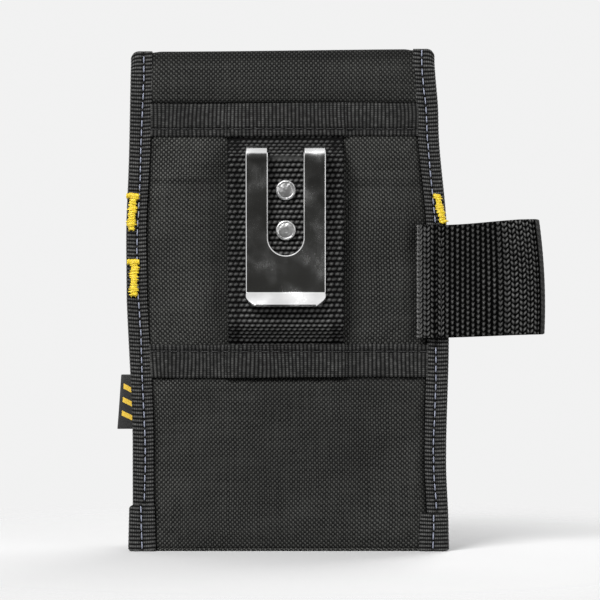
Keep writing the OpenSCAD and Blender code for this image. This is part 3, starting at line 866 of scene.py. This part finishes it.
def tool_loop():
    """One strip of webbing: folded under and sewn on the back of the seam, out round the loop's end, and
    back to the front of the seam. It bends between the pouch and the loop."""
    rear_low, rear_high = box("loop_anchor_rear")
    front_low, front_high = box("loop_anchor_front")
    low, high = box("tool_loop")
    start, seam_x = rear_low[0], rear_high[0]
    end = high[0] + 0.8
    y0, y_out = rear_high[1], rear_low[1]
    middle = (low[1] + high[1]) / 2
    step = 0.37
    line = rounded([
        (seam_x - 3, y0 - 1.1), (start + 1.6, y0 - 1.0), (start, y0 - 1.5), (start + 0.1, y_out + 0.4),
        (start + 2.2, y_out), (seam_x - 1, y_out), (seam_x + 6, y_out + 0.9), (seam_x + 18, y_out + 0.4),
        (end - 8, low[1] + 0.1), (end - 1.6, low[1] + 2.2), (end + 0.2, middle), (end - 1.6, high[1] - 2.2),
        (end - 8, high[1] - 0.2), (seam_x + 18, high[1] - 3.0), (seam_x + 6, front_high[1] - 0.3),
        (seam_x, front_high[1]), (front_low[0] + 0.4, front_high[1]),
    ], step, 0.8)
    half = (LOOP_TOP - LOOP_LOW) / 2
    across = np.linspace(-1, 1, 126)
    width = across * half
    x, y = line[:, :1], line[:, 1:]
    out = rise(x, seam_x - 4, end)
    round_end = 1.3 - 1.15 * across - 1.2 * across ** 2
    y = y + 0.5 * np.sin(across * 1.4 + 0.4) * rise(x, seam_x + 6, end) - 0.2
    z = LOOP_LOW + half + 0.65 + 2.1 * out + across * (half - 0.65 + 0.65 * out)
    sewn_down = 1 - rise(x, seam_x - 0.5, seam_x + 1.5)
    opened = np.maximum(sewn_down, rise(x, end - 22, end - 14))
    pairs = np.cumsum(step / (2.23 + 1.07 * opened), axis=0)
    relief = chevrons(pairs, width, opened) * (1 - 0.1 * sewn_down)
    relief = np.clip(relief + bell(x, start + 0.9, 0.55) * humps(width / 1.85, 0.8), 0, 1.25)
    # At the loop's end the ribs give way to a smooth fold, with a painted shade line where the webbing curves
    # away.
    tip = rise(x, end - 2.6, end - 1.8)
    relief = (relief * (1 - 0.7 * tip) + 0.38 * tip) * (1 - 0.8 * bell(x, end - 2.6, 0.4))
    # Darker along the seam: painted shade in the groove the stitches pull in, and darker stitch holes.
    sewn = bell(x, seam_x - 3.9, 0.8) * (y < middle)
    relief = np.clip(relief * (1 - sewn * (0.35 + 0.6 * humps(z / 4.4, 4))), 0, 1.25)
    grid = grid_of(x + round_end * rise(x, seam_x + 10, end - 4), y, z)
    obj = shell("tool_loop_webbing", grid, WEB_T, relief, 1.05 * (1 - 0.7 * tip), lean=False)
    finished(obj, LOOP_YARN, "webbing", "tool_loop", "loop_anchor_rear", "loop_anchor_front", body=None)
    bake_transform(obj)
    z = np.arange(LOOP_LOW + 1.5, LOOP_TOP - 1.5, 0.5)
    seam = grid_of(seam_x - 3.9 + 0.15 * np.sin(z / 7), y_out + 0.02, z)
    row = stitch_row("loop_stitches", seam, length=3.4, radius=0.22, arch=0.02)
    finished(row, BLACK_THREAD, "webbing")


# ---- Pockets ----


def face_of(node):
    heights, reach = outline(node, 1)
    return lambda z: np.interp(z, heights, reach)


def pocket_grid(x0, x1, y_back, y_face, z, corner=4.5, full=1.4):
    """Points round the three free sides of a pocket, as a bag with round corners: y_back and y_face are
    functions of height, and full is how far the front stands out in its middle."""
    turn = np.linspace(0, math.pi / 2, 6)[:, None]
    side_y = np.linspace(y_back(z), y_face(z) - corner, 10)[:-1]
    half_x = np.concatenate([np.full((len(side_y), 1), x0), x0 + corner * (1 - np.cos(turn))])
    half_y = np.concatenate([side_y, y_face(z) - corner * (1 - np.sin(turn))])
    front_x = np.linspace(x0 + corner, x1 - corner, 40)[1:-1, None]
    swell = full * (1 - ((2 * front_x - x0 - x1) / (x1 - x0)) ** 2) * (0.35 + 0.65 * z / z[-1])
    x = np.concatenate([half_x, front_x, x0 + x1 - half_x[::-1]])
    y = np.concatenate([half_y, y_face(z) + swell, half_y[::-1]])
    return grid_of(x, y, z)[::-1]


def pocket(name, nodes, x0, x1, y_back, sim, back_pinned=None):
    """A pocket's cloth, settled by simulation, with a tape folded over its mouth and sewn. nodes are the CAD
    nodes of its front, of its two gussets and of its mouth's binding."""
    node, mouth_node = nodes[0], nodes[-1]
    high = box(node)[1]
    z = np.linspace(box("base_panel")[1][2] - 0.4, high[2], max(12, int(high[2] / 3.2)))
    coarse = pocket_grid(x0, x1, y_back, face_of(node), z)
    fixed = np.zeros(coarse.shape[:2], bool)
    fixed[:2] = fixed[-2:] = True
    fixed[:, :2] = fixed[:, -3:] = True
    if back_pinned is not None:
        fixed |= back_pinned(coarse)
    grid = settled(name + "_sim", coarse, fixed, **sim)
    path = lengths(grid[:, len(z) // 2])[-1]
    fine = refined(grid, int(path / 0.75), int(high[2] / 0.9))
    obj = shell(name, fine, FABRIC_T)
    finished(obj, OXFORD, "outer_fabric", *nodes[:-1])
    mouth_binding(name, grid, mouth_node)


def mouth_binding(name, grid, node):
    """Ribbed tape folded over the top edge of a pocket's cloth."""
    path = lengths(grid[:, -1])[-1]
    rows = int(path / 0.29)
    steps = int(BINDING_W / 0.4)
    span = grid[0, -1, 2] - grid[0, 0, 2]
    last = grid.shape[1] - 1
    cloth = cubic(grid, np.linspace(0, len(grid) - 1, rows))
    depth = np.linspace(BINDING_W, 0, steps)
    cloth = cubic(cloth.swapaxes(0, 1), last * (1 - depth / span)).swapaxes(0, 1)
    normal = normals(cloth)
    lift, under = TAPE_T + 0.1, FABRIC_T + TAPE_T + 0.1
    outer, inner = cloth + normal * lift, cloth[:, ::-1] - normal[:, ::-1] * under
    turn = np.linspace(0, math.pi, 9)[1:-1, None]
    centre = (outer[:, -1:] + inner[:, :1]) / 2
    arm = (outer[:, -1:] - inner[:, :1]) / 2
    top = centre + arm * np.cos(turn) + np.array([0, 0, TAPE_T + 0.25]) * np.sin(turn)
    tape = np.concatenate([outer, top, inner], axis=1)
    along = lengths(cloth[:, -1])[:, None]
    across = lengths(tape[rows // 2])
    seam_at = 2.4
    pull = bell(across, seam_at, 0.7)
    # The ribs are darkened along the seam, as painted shade in the groove the stitches pull in.
    relief = ribs(along + 0.2 * np.sin(across / 2.7), across, TAPE_BEAD) * (1 - 0.5 * pull)
    tape = tape - normals(tape) * 0.25 * pull[:, None]
    obj = shell(name + "_mouth_tape", tape, TAPE_T, relief, 0.34)
    finished(obj, TAPE, "binding_tape", node)
    at = int(seam_at / BINDING_W * steps)
    seam = outer[:, at] - normal[:, at] * 0.1
    row = stitch_row(name + "_mouth_stitches", seam[4:-4], normal[4:-4, at])
    finished(row, SEAM_THREAD, "binding_tape")


def pockets():
    face = face_of("middle_pocket_front")
    inside = lambda z: INSIDE_Y + 0.2
    on_middle = lambda z: face(z) - 0.6
    middle_top = box("middle_pocket_front")[1][2]
    main_x = box("main_pocket_front")[1][0]
    hidden = lambda g: (np.abs(g[..., 0]) > main_x - 3) & (g[..., 2] < middle_top - 6)
    main_sim = {"pressure": 1.2, "growth": 0.012, "cap": 1.2}
    middle_sim = {"pressure": 1.5, "growth": 0.015, "cap": 1.5}
    front_sim = {"pressure": 2.0, "growth": 0.02, "cap": 1.8}
    for level, sim, pinned in [("main", main_sim, hidden), ("middle", middle_sim, None)]:
        front = level + "_pocket_front"
        nodes = [front, level + "_gusset_left", level + "_gusset_right", level + "_mouth_binding"]
        low, high = box(front)
        pocket(level + "_pocket", nodes, low[0], high[0], inside, sim, pinned)
    for side in SIDES:
        low, high = box("front_pocket_" + side)
        gussets = [f"front_gusset_{side}_{place}" for place in ("outer", "inner")]
        nodes = ["front_pocket_" + side, *gussets, "front_mouth_binding_" + side]
        pocket("front_pocket_cloth_" + side, nodes, low[0], high[0], on_middle, front_sim)


def base_cloth():
    """The flat bottom, whose rear edge shows as a second rolled fold under the back panel."""
    low, high = box("base_panel")
    line = rounded([
        (high[1] - 0.4, high[2]), (high[1] + 0.1, high[2] - 0.5), (high[1] - 0.3, low[2]),
        (low[1] + 0.3, low[2]), (low[1] - 0.15, low[2] + 0.7), (low[1] + 0.5, high[2]),
    ], 0.5, 0.35)
    inner = half_width(2.0) - BINDING_W
    corner = 7
    y, z = line.T
    front = np.clip((y - high[1] + corner) / corner, 0, 1)
    x = np.linspace(-inner + 0.4, inner - 0.4, 160)[:, None]
    x = x * (1 - corner / inner * (1 - np.sqrt(1 - 0.98 * front ** 2)))
    obj = shell("base_cloth", grid_of(x, y, z), FABRIC_T)
    finished(obj, OXFORD, "outer_fabric", "base_panel")


# ---- Bartacks and label ----


def bartack(centre, width, length, up, tilt=0.0, cap=True):
    """The parts of a bartack: a loose zigzag of thick thread over two long threads, and a bar at its top."""
    centre, side = np.array(centre, float), np.array([1.0, 0, 0])
    down = np.array([math.sin(tilt), 0, -math.cos(tilt)])
    pitch, radius = 0.76, 0.36
    count = int(length / pitch)
    z = np.arange(count)[:, None] * pitch
    jitter = RNG.normal(0, 0.3, (count, 4))
    spread = width / 2 * (1 + 0.16 * np.sin(z * 1.1 + 0.7))
    left = centre + down * (z + jitter[:, 2:3] * 0.5) - side * (spread + jitter[:, :1])
    right = centre + down * (z + pitch / 2 + jitter[:, 3:] * 0.5) + side * (spread + jitter[:, 1:2])
    starts = np.concatenate([left, right[:-1]])
    ends = np.concatenate([right, left[1:]])
    pieces = [threads("zigzag", starts, ends, up, radius, 0.3 + 0.35 * RNG.random(len(starts)))]
    for k in (-0.25, 0.25):
        top = centre + side * k * width
        pieces.append(threads("core", [top], [top + down * length], up, 0.45, 0.25, rings=12))
    if cap:
        x = np.linspace(-width * 0.8, width * 0.55, 9)[:, None]
        top = centre + side * x + down * (RNG.random((9, 1)) * 0.4 - 0.7)
        pieces.append(threads("bar", top, top + down * 2.4, up, radius, 0.5))
    return pieces


def bartacks():
    low, high = box("side_bartacks")
    y, up, width, length = low[1] + 0.1, BELT_SIDE, 3.6, 16.3
    x, top = low[0] + width / 2, high[2] - 1
    made = bartack((x, y, top), width, length, up, -0.05)
    made += bartack((x + 0.3, y, box("middle_pocket_front")[1][2] - 1), width, length, up, -0.05)
    right = (high[0] - width / 2 - 0.6, y, top)
    made += bartack(right, width * 0.9, high[2] - LOOP_TOP - 1.2, up, 0.16, cap=False)
    tail = np.array([high[0] - 0.2, y - 0.3, LOOP_TOP + 0.6])
    made.append(threads("tail", [tail - [1.6, 0, -0.9]], [tail], up, 0.38, 0.5))
    finished(joined(made, "seam_bartacks"), TACK_THREAD, "tack_thread", "side_bartacks")


def front_bartacks():
    high = box("front_bartacks")[1]
    made = []
    for side in SIDES:
        pocket_low, pocket_high = box("front_pocket_" + side)
        for x in (pocket_low[0] + 5.5, pocket_high[0] - 5.5):
            made += bartack((x, high[1] + 0.15, high[2] - 0.4), 3.2, 8.4, POCKET_SIDE)
    finished(joined(made, "pocket_bartacks"), TACK_THREAD, "tack_thread", "front_bartacks")


def side_label():
    """A folded woven tab sewn into the left seam."""
    low, high = box("side_label")
    y0, y1 = low[1] - 0.1, high[1] + 0.2
    line = rounded([(high[0], y1), (low[0] + 0.6, y1), (low[0], (y0 + y1) / 2), (low[0] + 0.6, y0),
                    (high[0], y0)], 0.3, 0.3)
    x, y = line[:, :1], line[:, 1:]
    z = np.linspace(low[2], high[2], 60)
    share = (z - low[2]) / (high[2] - low[2])
    outside = rise(-x, -high[0], -low[0])
    grid = grid_of(x + outside * (2.7 * share - 1.1), y - outside * 0.6 * np.sin(share * math.pi), z)
    obj = shell("label_tab", grid, 0.35, round_r=0.2)
    finished(obj, LABEL, "label", "side_label")


# ---- Steel ----


def bevelled_copy(node, name, width, material, slot):
    """A CAD part's own shape with its edges eased, so that they catch the light."""
    bm = bmesh.new()
    bm.from_mesh(frame["nodes"][node].data)
    bmesh.ops.remove_doubles(bm, verts=bm.verts, dist=0.01 * MM)
    bmesh.ops.dissolve_limit(bm, angle_limit=math.radians(1.5), verts=bm.verts, edges=bm.edges)
    sharp = [e for e in bm.edges if len(e.link_faces) == 2 and e.calc_face_angle() > math.radians(40)]
    bmesh.ops.bevel(bm, geom=sharp, offset=width * MM, segments=1, profile=0.5, affect="EDGES")
    mesh = bpy.data.meshes.new(name)
    bm.to_mesh(mesh)
    bm.free()
    obj = bpy.data.objects.new(name, mesh)
    bpy.context.scene.collection.objects.link(obj)
    finished(obj, material, slot, node)


def clip_front():
    """The clip's visible part, bent from one strip: over the two bends, down the legs, which join below
    the slot, and out along the lip. Its edges are chamfered and the lip's corners are round. Its columns
    of points follow the slot and the rim, and s is the distance along the strip."""
    low, high = box("clip_spring_frame")
    half, bend_r, thick, chamfer, corner = high[0], 5.0, 1.2, 0.42, 4.4
    slot_z, knee_z = low[2] + 21.4 + CLIP_SLOT_R, low[2] + 5.5
    lean, flare = math.radians(5.4), math.radians(38)
    turn = np.linspace(math.radians(-78), math.pi / 2 + lean, 60)
    centre = np.array([box("clip_back_plate")[1][1] - bend_r, high[2] - bend_r])
    bend = centre + bend_r * np.stack([-np.sin(turn), np.cos(turn)], axis=1)
    knee = bend[-1] + (bend[-1][1] - knee_z) * np.array([math.tan(lean), -1])
    tip = knee + (knee_z - low[2]) * np.array([-math.tan(flare), -1])
    path = rounded(np.concatenate([bend, resampled([knee, tip], 0.1)]), 0.1, 0.16)
    along = lengths(path)
    length = along[-1]
    first = len(path) // 4
    slot_s = np.interp(-slot_z, -path[first:, 1], along[first:])
    knee_s = length - np.linalg.norm(tip - knee)
    bend_s = bend_r * (turn[-1] - turn[0])
    narrow = 0.5
    last = math.acos(narrow / CLIP_SLOT_R)
    bottom = CLIP_SLOT_R * math.sin(last)
    s = np.unique(np.concatenate([
        np.linspace(0, bend_s, 44), np.linspace(bend_s, slot_s, 20),
        slot_s + CLIP_SLOT_R * np.sin(np.linspace(0, last, 44)),
        slot_s + bottom + np.linspace(0, 1.2, 10), np.linspace(slot_s + 10, knee_s - 1, 8),
        np.linspace(knee_s - 0.9, knee_s + 0.9, 18), np.linspace(knee_s + 1, length - corner, 6),
        length - corner * (1 - np.sin(np.linspace(0, math.pi / 2, 30))),
        length - chamfer * np.linspace(0, 1, 4),
    ]))
    s = s[np.diff(s, prepend=-1) > 0.01]
    past_slot = s >= slot_s + bottom - 0.02
    below = np.maximum(s - slot_s, 0) + 0.02 * past_slot
    level = np.array([0, 1, 2, 3, 4.5, 8]) * chamfer / 3
    step = 0.02 * np.arange(6)
    inner = np.sqrt(np.maximum((CLIP_SLOT_R + level) ** 2 - below[:, None] ** 2, (narrow + step) ** 2))
    power = 1.45
    low_part = np.clip(s[:, None] - (length - corner), 0, corner - level)
    bulge = (1 - (low_part / (corner - level)) ** power) ** (1 / power)
    outer = half - corner - step + (corner - level) * bulge
    right = np.concatenate([inner, outer[:, ::-1]], axis=1)
    x = np.concatenate([-right[:, ::-1], right], axis=1)
    s2 = np.broadcast_to(s[:, None], x.shape)
    from_slot = np.hypot(x, np.maximum(s2 - slot_s, 0)) - CLIP_SLOT_R
    beyond_x = np.maximum(np.abs(x) - (half - corner), 0)
    beyond_s = np.maximum(s2 - (length - corner), 0)
    from_rim = corner - (beyond_x ** power + beyond_s ** power) ** (1 / power)
    eased = chamfer * (1 - 0.6 * rise(s2, knee_s, knee_s + 1))
    relief = 1 - np.clip(eased - np.minimum(from_slot, from_rim), 0, None) / chamfer
    grid = grid_of(x, np.interp(s2, along, path[:, 0]), np.interp(s2, along, path[:, 1]))
    keep = np.ones((len(s) - 1, x.shape[1] - 1), bool)
    keep[:, right.shape[1] - 1] = past_slot[:-1]
    obj = shell("clip_front", grid, thick, relief, chamfer, keep=keep, lean=False, round_r=0.01)
    obj.data.set_sharp_from_angle(angle=math.radians(28))
    finished(obj, CLIP_STEEL, "spring_steel", "clip_spring_frame", body=CLIP)


def rivets(segments=72):
    """Two button-head rivets with a rim, turned about axes along Y from their tails to their faces."""
    low, high = box("clip_rivets")
    r = (high[0] - low[0]) / 2
    face, tail, seat = low[1], high[1], WEBBING[0][1] + 0.3
    radius, y = rounded([
        (0.02, tail), (2.0, tail), (2.0, seat + 0.1), (r - 0.3, seat), (r, seat - 0.35),
        (r, face + 0.9), (r * 0.97, face + 0.5), (r * 0.9, face + 0.25), (r * 0.8, face + 0.2),
        (r * 0.76, face + 0.34), (r * 0.55, face + 0.16), (r * 0.3, face + 0.03), (0.02, face),
    ], 0.12, 0.1).T[..., None]
    angle = np.arange(segments) * 2 * math.pi / segments
    centres = rivet_heights()
    points = [grid_of(radius * np.cos(angle), y, z + radius * np.sin(angle)) for z in centres]
    quads = tube_quads(len(y), segments)
    quads = np.concatenate([quads + k * len(y) * segments for k in range(len(centres))])
    obj = make_object("rivet_pair", np.concatenate(points).reshape(-1, 3), quads, sharp=50)
    finished(obj, RIVET_STEEL, "rivet_steel", "clip_rivets")


def metalwork():
    clip_front()
    bevelled_copy("clip_back_plate", "clip_plate", 0.3, CLIP_STEEL, "spring_steel")
    bevelled_copy("rivet_burrs", "burr_washers", 0.15, RIVET_STEEL, "rivet_steel")
    rivets()
    board = frame["nodes"]["stiffener_board"]
    board.data.materials.clear()
    board.data.materials.append(BOARD)


# ---- Stage, lights and camera ----


def floor():
    """A pale floor that fades into the background."""
    bpy.ops.mesh.primitive_plane_add(size=6)
    obj = bpy.context.object
    obj.name = "floor"
    g = Graph(bpy.data.materials.new("floor_paper"))
    g.done((0.61, 0.61, 0.61, 1), 0.8)
    place = g.node("ShaderNodeTexCoord", "Object")
    away = g.node("ShaderNodeVectorMath", "Value", [(0, place)], operation="LENGTH")
    fade = g.ramp(away, (0.07, 0.0), (0.27, 1.0))
    paper = Value(g, g.tree.nodes["Principled BSDF"].outputs[0])
    shown = g.mix(fade, paper, g.node("ShaderNodeBsdfTransparent"))
    g.link(shown, g.tree.nodes["Material Output"].inputs[0])
    obj.data.materials.append(g.owner)


def world():
    """A pale studio. Gloss sees a dark side where the photographer stands, and light all round it."""
    g = Graph(bpy.data.worlds.new("studio"))
    light = lambda colour: g.node("ShaderNodeBackground", inputs=[("Color", colour), ("Strength", 1.0)])
    ray = lambda kind: g.node("ShaderNodeLightPath", kind)
    place = g.node("ShaderNodeTexCoord", "Generated")
    facing = g.node("ShaderNodeVectorMath", "Value", [(0, place), (1, (0, 1, 0))], operation="DOT_PRODUCT")
    dark_side = g.ramp(abs(facing), (0.6, 0.97), (0.8, (0.014, 0.014, 0.013)))
    glow = g.ramp(g.noise(14 * MM, 2, place="Generated"), (0.38, 0.0), (0.66, (0.05, 0.05, 0.047)))
    room = light(g.blend("ADD", 1.0, dark_side, glow))
    shown = g.mix(ray("Is Glossy Ray"), light((0.15, 0.15, 0.155, 1)), room)
    shown = g.mix(ray("Is Camera Ray"), shown, light((0.885, 0.885, 0.885, 1)))
    g.link(shown, g.tree.nodes["World Output"].inputs["Surface"])
    bpy.context.scene.world = g.owner


def lights():
    """Area lights, as (name, place, size, power): two on the belt side and two on the pockets' side."""
    plans = [
        ("key", (-0.45, -0.75, 0.95), 0.5, 19), ("fill", (0.9, -0.8, 0.35), 0.7, 5),
        ("front_side_key", (0.6, 0.9, 0.8), 0.9, 15), ("front_side_fill", (-0.8, 0.8, 0.3), 0.7, 4),
    ]
    for name, place, size, power in plans:
        data = bpy.data.lights.new(name, "AREA")
        data.size, data.energy = size, power
        obj = bpy.data.objects.new(name, data)
        obj.location = place
        away = Vector((0, 0, 0.11)) - Vector(place)
        obj.rotation_euler = away.to_track_quat("-Z", "Y").to_euler()
        bpy.context.scene.collection.objects.link(obj)


def camera():
    """Square on to the back panel from about a metre away."""
    data = bpy.data.cameras.new("camera")
    obj = bpy.data.objects.new("camera", data)
    distance, view_width = 1.15, 0.264
    aim = Vector((0.0062, BACK_Y * MM, 0.1105))
    data.sensor_width = 36
    data.lens = 36 * distance / view_width
    obj.location = aim + Vector((0, -distance, 0))
    obj.rotation_euler = (math.pi / 2, 0, 0)
    bpy.context.scene.collection.objects.link(obj)
    bpy.context.scene.camera = obj


camera()
back_fabric()
pockets()
back_lining()
top_hem()
cross_band("upper_band", "upper_band_tape", 3.2, 0.94)
cross_band("lower_band", "lower_band_tape", 11.4, 1.0)
belt_webbing()
base_cloth()
for seam_side in SIDES:
    side_binding(seam_side)
    corner_wrap(seam_side)
tool_loop()
bartacks()
front_bartacks()
side_label()
metalwork()
floor()
world()
lights()
bpy.context.scene.view_settings.view_transform = "Standard"
